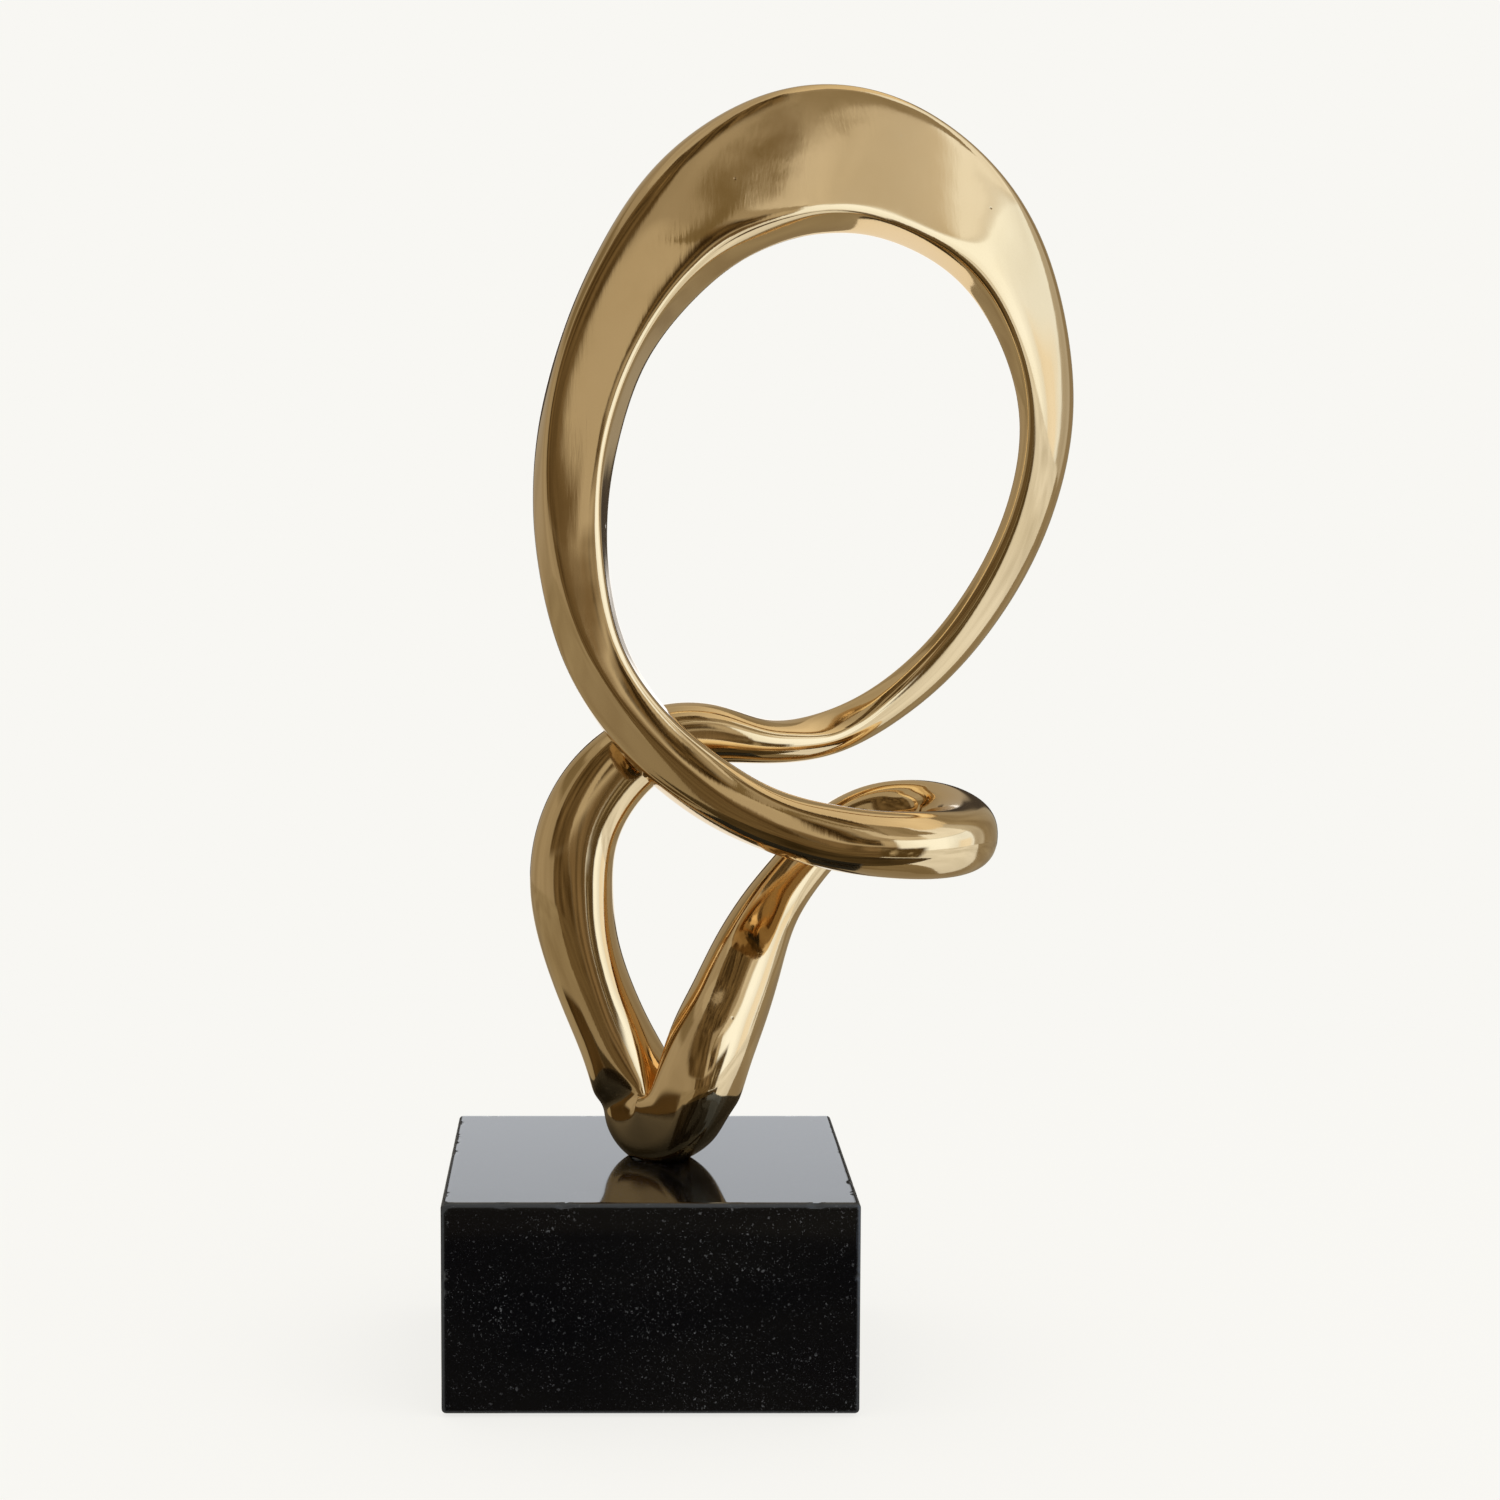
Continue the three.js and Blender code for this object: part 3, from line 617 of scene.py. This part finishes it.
def soften(material, start, end, low, high, side, rim):
    """Fades a screen's glow out towards its edges, so that it meets what is behind it softly."""
    tree = material.node_tree
    output = tree.nodes["Material Output"]
    glow = output.inputs["Surface"].links[0].from_socket
    parts = split(tree, object_place(tree))
    ahead = calculate(tree, "MULTIPLY", parts["Y"], -1.0)
    turn = calculate(tree, "ARCTAN2", parts["X"], ahead)
    first, last, width = math.radians(start), math.radians(end), math.radians(side)
    shares = [
        remap(tree, turn, first, first + width, 0, 1),
        remap(tree, turn, last - width, last, 1, 0),
        remap(tree, parts["Z"], low, low + rim, 0, 1) if low > 0 else 1.0,
        remap(tree, parts["Z"], high - rim, high, 1, 0) if high < ROOM_HEIGHT else 1.0,
    ]
    total = shares[0]
    for share in shares[1:]:
        total = calculate(tree, "MULTIPLY", total, share)
    clear = add_node(tree, "ShaderNodeBsdfTransparent")
    blend = add_node(tree, "ShaderNodeMixShader", {0: total, 1: clear.outputs[0], 2: glow})
    tree.links.new(blend.outputs[0], output.inputs["Surface"])


def stage_place(bearing, radius):
    """X and Y at a bearing and a radius: 0 is the viewer's side, 90 the right."""
    turn = math.radians(bearing)
    return radius * math.sin(turn), -radius * math.cos(turn)


def sweep(bm, start, end, pair_at):
    """A strip of faces between pairs of points, from one bearing to another."""
    steps = max(1, round(abs(end - start) / BEARING_STEP))
    pairs = []
    for i in range(steps + 1):
        pairs.append([bm.verts.new(point) for point in pair_at(start + (end - start) * i / steps)])
    for (a, b), (c, d) in zip(pairs, pairs[1:]):
        bm.faces.new((a, c, d, b))


def screen(name, start, end, low, high, radius, material, side=0.0, rim=0.0):
    """An upright curved screen between two bearings and two heights, perhaps with soft edges."""
    bm = bmesh.new()
    sweep(bm, start, end, lambda bearing: [(*stage_place(bearing, radius), z) for z in (low, high)])
    if side:
        material = material.copy()
        soften(material, start, end, low, high, side, rim)
    card(name, bm, material)


def panel(name, outline, radius, material):
    """A flat shape on the round wall, its corners given as bearing and height."""
    bm = bmesh.new()
    bm.faces.new([bm.verts.new((*stage_place(bearing, radius), z)) for bearing, z in outline])
    card(name, bm, material)


def sector(name, start, end, near, far, height, material):
    """A flat part of a ring round the object, from one bearing to another."""
    bm = bmesh.new()
    sweep(bm, start, end, lambda bearing: [(*stage_place(bearing, r), height) for r in (near, far)])
    card(name, bm, material)


def floor():
    """A pale floor that fades into the backdrop's white far from the object."""
    bm = bmesh.new()
    bmesh.ops.create_circle(bm, cap_ends=True, segments=96, radius=FLOOR_REACH)
    plane = mesh_object("floor", bm)
    material, tree, shader = new_material("pale_floor")
    shader.inputs["Base Color"].default_value = (0.93, 0.92, 0.885, 1)
    shader.inputs["Roughness"].default_value = 0.9
    shader.inputs["Specular IOR Level"].default_value = 0.0
    inputs = {0: object_place(tree)}
    far = add_node(tree, "ShaderNodeVectorMath", inputs, operation="LENGTH").outputs["Value"]
    glow = add_node(tree, "ShaderNodeEmission", {"Color": (*BACKDROP, 1), "Strength": 1.0})
    share = remap(tree, far, 0.1, 0.7, 0.82, 1)
    inputs = {0: share, 1: shader.outputs[0], 2: glow.outputs[0]}
    blend = add_node(tree, "ShaderNodeMixShader", inputs)
    tree.links.new(blend.outputs[0], tree.nodes["Material Output"].inputs["Surface"])
    plane.data.materials.append(material)


def world():
    """White where the camera, metal and glass look, and a plain light level for everything else."""
    background = bpy.data.worlds.new("studio")
    bpy.context.scene.world = background
    background.use_nodes = True
    tree = background.node_tree
    tree.nodes.clear()
    rays = add_node(tree, "ShaderNodeLightPath").outputs
    seen = calculate(tree, "MAXIMUM", rays["Is Camera Ray"], rays["Is Glossy Ray"])
    seen = calculate(tree, "MAXIMUM", seen, rays["Is Transmission Ray"])
    light = add_node(tree, "ShaderNodeBackground", {"Color": (1, 0.99, 0.97, 1), "Strength": 1.0})
    white = add_node(tree, "ShaderNodeBackground", {"Color": (*BACKDROP, 1), "Strength": 1.0})
    inputs = {0: seen, 1: light.outputs[0], 2: white.outputs[0]}
    blend = add_node(tree, "ShaderNodeMixShader", inputs)
    output = add_node(tree, "ShaderNodeOutputWorld")
    tree.links.new(blend.outputs[0], output.inputs["Surface"])


def tan_walls():
    """Plain tan walls all round, a little shaded on the right and high on the left."""
    tan = streaked_material("wall_tan", (0.32, 0.285, 0.225), (0.41, 0.375, 0.31), 2.0, (1, 1, 0.3))
    right = streaked_material("wall_right", (0.26, 0.22, 0.155), (0.37, 0.335, 0.26), 3.0, (1, 1, 0.3))
    back = emission_material("wall_back", (0.42, 0.38, 0.31))
    middle = streaked_material("wall_middle", (0.40, 0.365, 0.30), (0.54, 0.505, 0.43), 3.0, (1, 1, 0.3))
    high = streaked_material("wall_left_high", (0.185, 0.15, 0.095), (0.235, 0.20, 0.135), 2.0, (1, 1, 0.5))
    flag = emission_material("flag", (0.06, 0.05, 0.04))
    screen("wall_tan", -166, 100, 0, ROOM_HEIGHT, 1.24, tan)
    screen("wall_right", 100, 166, 0, ROOM_HEIGHT, 1.24, right)
    screen("wall_back", 164, 196, 0.42, ROOM_HEIGHT, 1.26, back)
    screen("wall_middle", -13, 30, 0.3, 0.86, 1.22, middle, 3, 0.06)
    screen("wall_left_high", -128, -68, 0.75, 1.5, 1.23, high, 8, 0.15)
    screen("flag_left", -171, -157, 0, 0.66, 1.2, flag, 2, 0.12)
    screen("flag_right", 157, 171, 0, 0.66, 1.2, flag, 2, 0.12)


def dark_rooms():
    """The dark room behind the viewer, with its lobby, its door and the dark under its ceiling."""
    room = streaked_material(
        "dark_room", (0.07, 0.047, 0.02), (0.20, 0.15, 0.085), 6.0, (1, 1, 0.35), low=0.38, high=0.68
    )
    lobby = streaked_material("dark_lobby", (0.10, 0.072, 0.036), (0.26, 0.20, 0.125), 6.0, (1, 1, 0.4))
    door = streaked_material(
        "dark_door", (0.03, 0.018, 0.006), (0.21, 0.15, 0.075), 14.0, (1, 1, 0.6), low=0.4, high=0.75
    )
    upper = streaked_material(
        "dark_upper", (0.035, 0.022, 0.008), (0.25, 0.185, 0.10), 16.0, (1, 1, 0.15), low=0.4, high=0.7
    )
    screen("dark_room_low", -41, -6, 0, 0.36, 1.21, room, 3, 0.05)
    screen("dark_room", -58, -8, 0.28, ROOM_HEIGHT, 1.20, room, 3, 0.08)
    screen("lobby", -9, 30, 0, 0.4, 1.21, lobby, 3, 0.08)
    screen("dark_door", -1, 16, 0.4, 0.88, 1.19, door, 2, 0.1)
    screen("dark_upper", -59, 24, 1.24, ROOM_HEIGHT, 1.18, upper, 3, 0.1)
    sector("ceiling_front", -58, 22, 0.95, 1.2, ROOM_HEIGHT - 0.01, upper)


def hangings():
    """The curtain beside the softbox, the valance under it and a chair before it."""
    shade = streaked_material("wall_shade", (0.165, 0.125, 0.062), (0.19, 0.15, 0.08), 2.0, (1, 1, 0.6))
    low_edge = [(0, 0.72), (3.5, 0.84), (6.5, 0.97), (9, 1.03), (14.5, 1.115), (19, 1.165), (27, 1.19)]
    high_edge = [(27, 1.23), (20, 1.225), (13, 1.165), (7, 1.08), (3, 0.98), (0.5, 0.86), (-3, 0.76)]
    panel("curtain", low_edge + high_edge, 1.16, shade)
    valance = streaked_material("valance", (0.27, 0.235, 0.17), (0.33, 0.295, 0.23), 6.0, (1, 1, 0.5))
    rail = [(28, 0.725), (34, 0.713), (42, 0.676), (50, 0.65), (60, 0.638), (66, 0.632)]
    panel("valance", rail + [(66, 0.78), (28, 0.86)], 0.5, valance)
    chair = streaked_material(
        "chair", (0.09, 0.065, 0.028), (0.52, 0.48, 0.38), 26.0, (1, 1, 0.3), low=0.5, high=0.68
    )
    screen("chair", 20, 50, 0, 0.2, 0.3, chair, 4, 0.03)


def softboxes():
    """The large softbox on the right, its blind, its spill on the wall and the light behind the object."""
    bright = streaked_material(
        "softbox", (1.05, 1.23, 1.55), (1.2, 1.45, 1.9), 1.6, (1, 1, 0.4),
        gradient=((1.0, 1.0), (1.15, 0.84)),
    )
    upper = streaked_material("softbox_high", (0.86, 0.94, 1.08), (1.0, 1.12, 1.32), 1.6, (1, 1, 0.4))
    lower = streaked_material("softbox_low", (0.93, 0.98, 1.06), (1.04, 1.11, 1.22), 1.6, (1, 1, 0.4))
    spill = streaked_material("softbox_edge", (0.46, 0.46, 0.45), (0.60, 0.62, 0.64), 2.0, (1, 1, 0.3))
    pale = streaked_material("blind", (0.59, 0.585, 0.56), (0.76, 0.76, 0.75), 3.5, (1, 1, 0.5))
    glow = emission_material("backdrop_glow", (1.22, 1.25, 1.30))
    screen("softbox", 23, 98, 0, 0.92, 1.15, bright, 2, 0.08)
    screen("softbox_high", 46, 98, 0.84, ROOM_HEIGHT, 1.14, upper, 4, 0.08)
    screen("softbox_edge", 88, 118, 0, ROOM_HEIGHT, 1.16, spill, 5, 0.1)
    screen("softbox_low", 72, 95, 0, 0.45, 1.13, lower, 5, 0.12)
    screen("blind", 24, 52, 0.84, 1.24, 1.16, pale, 3, 0.06)
    panel("blind_left", [(9, 1.0), (27, 0.98), (27, 1.21), (25, 1.21), (10, 1.05)], 1.165, pale)
    screen("backdrop_glow", 170, 190, 0.05, 0.44, 1.25, glow)


def ceiling():
    """A square ceiling, brighter towards the softbox."""
    material = streaked_material(
        "ceiling", (0.42, 0.385, 0.32), (0.48, 0.45, 0.385), 1.5, (1, 1, 1),
        gradient=((-0.1, 1.0), (0.8, 1.9)),
    )
    bm = bmesh.new()
    corners = [(-1, -1), (1, -1), (1, 1), (-1, 1)]
    bm.faces.new([bm.verts.new((x * ROOM_REACH, y * ROOM_REACH, ROOM_HEIGHT)) for x, y in corners])
    card("ceiling", bm, material)


def table_tops():
    """What lies round the object: the table's dark and lit parts, a painted shade of the block round its
    foot and behind it, and a stone's shade on its left.
    """
    table = streaked_material("table", (0.10, 0.07, 0.035), (0.18, 0.14, 0.08), 8.0, (1, 1, 1))
    # Painted shade: dark sheets round the block's foot and behind it stand in for the block's shadow on the
    # table
    dark = streaked_material("table_shade", (0.03, 0.022, 0.010), (0.09, 0.068, 0.036), 8.0, (1, 1, 1))
    plain = streaked_material("table_left", (0.27, 0.235, 0.175), (0.35, 0.32, 0.25), 4.0, (1, 1, 1))
    near = streaked_material("table_near", (0.18, 0.145, 0.09), (0.27, 0.235, 0.165), 8.0, (1, 1, 1))
    lit = streaked_material("table_lit", (0.68, 0.74, 0.83), (0.92, 1.03, 1.22), 4.0, (1, 1, 1))
    stone = streaked_material("stone_shade", (0.045, 0.028, 0.010), (0.09, 0.058, 0.024), 20.0, (1, 1, 1))
    sector("table_left", -160, -35, 0.03, ROOM_REACH, TABLE_HEIGHT, plain)
    sector("table_front", -35, 23, 0.28, ROOM_REACH, TABLE_HEIGHT, table)
    sector("table_foot_shade", -54, 60, 0.03, 0.28, 1.5 * TABLE_HEIGHT, dark)
    sector("table_near", 60, 105, 0.03, 0.16, TABLE_HEIGHT, near)
    sector("table_lit", 23, 105, 0.16, ROOM_REACH, TABLE_HEIGHT, lit)
    sector("table_right", 105, 160, 0.03, ROOM_REACH, TABLE_HEIGHT, plain)
    sector("table_behind", 160, 200, 0.03, 0.3, TABLE_HEIGHT, dark)
    screen("stone_shade", -97, -54, 0.03, 0.08, 0.11, stone, 3, 0.006)


def key_light():
    """One soft light from the upper right, for the floor's shadow and the granite."""
    data = bpy.data.lights.new("key", "AREA")
    data.shape = "RECTANGLE"
    data.size, data.size_y = 1.2, 1.2
    data.energy = 3
    lamp = bpy.data.objects.new("key", data)
    lamp.location = (0.9, -0.7, 1.3)
    aim = Vector((0.03, 0, 0.15)) - lamp.location
    lamp.rotation_euler = aim.to_track_quat("-Z", "Y").to_euler()
    lamp.visible_glossy = False
    bpy.context.scene.collection.objects.link(lamp)


def camera():
    """The photo's camera, fitted to the corners of the block."""
    data = bpy.data.cameras.new("camera")
    data.lens = 73.93
    data.sensor_width = 36
    data.shift_x = 0.0997
    view = bpy.data.objects.new("camera", data)
    view.location = (-0.014955, -0.960, 0.284945)
    view.rotation_euler = (math.radians(90 - 5.382), 0, 0)
    bpy.context.scene.collection.objects.link(view)
    bpy.context.scene.camera = view


world()
floor()
tan_walls()
dark_rooms()
hangings()
softboxes()
ceiling()
table_tops()
key_light()
camera()

bpy.context.scene.view_settings.view_transform = "Standard"
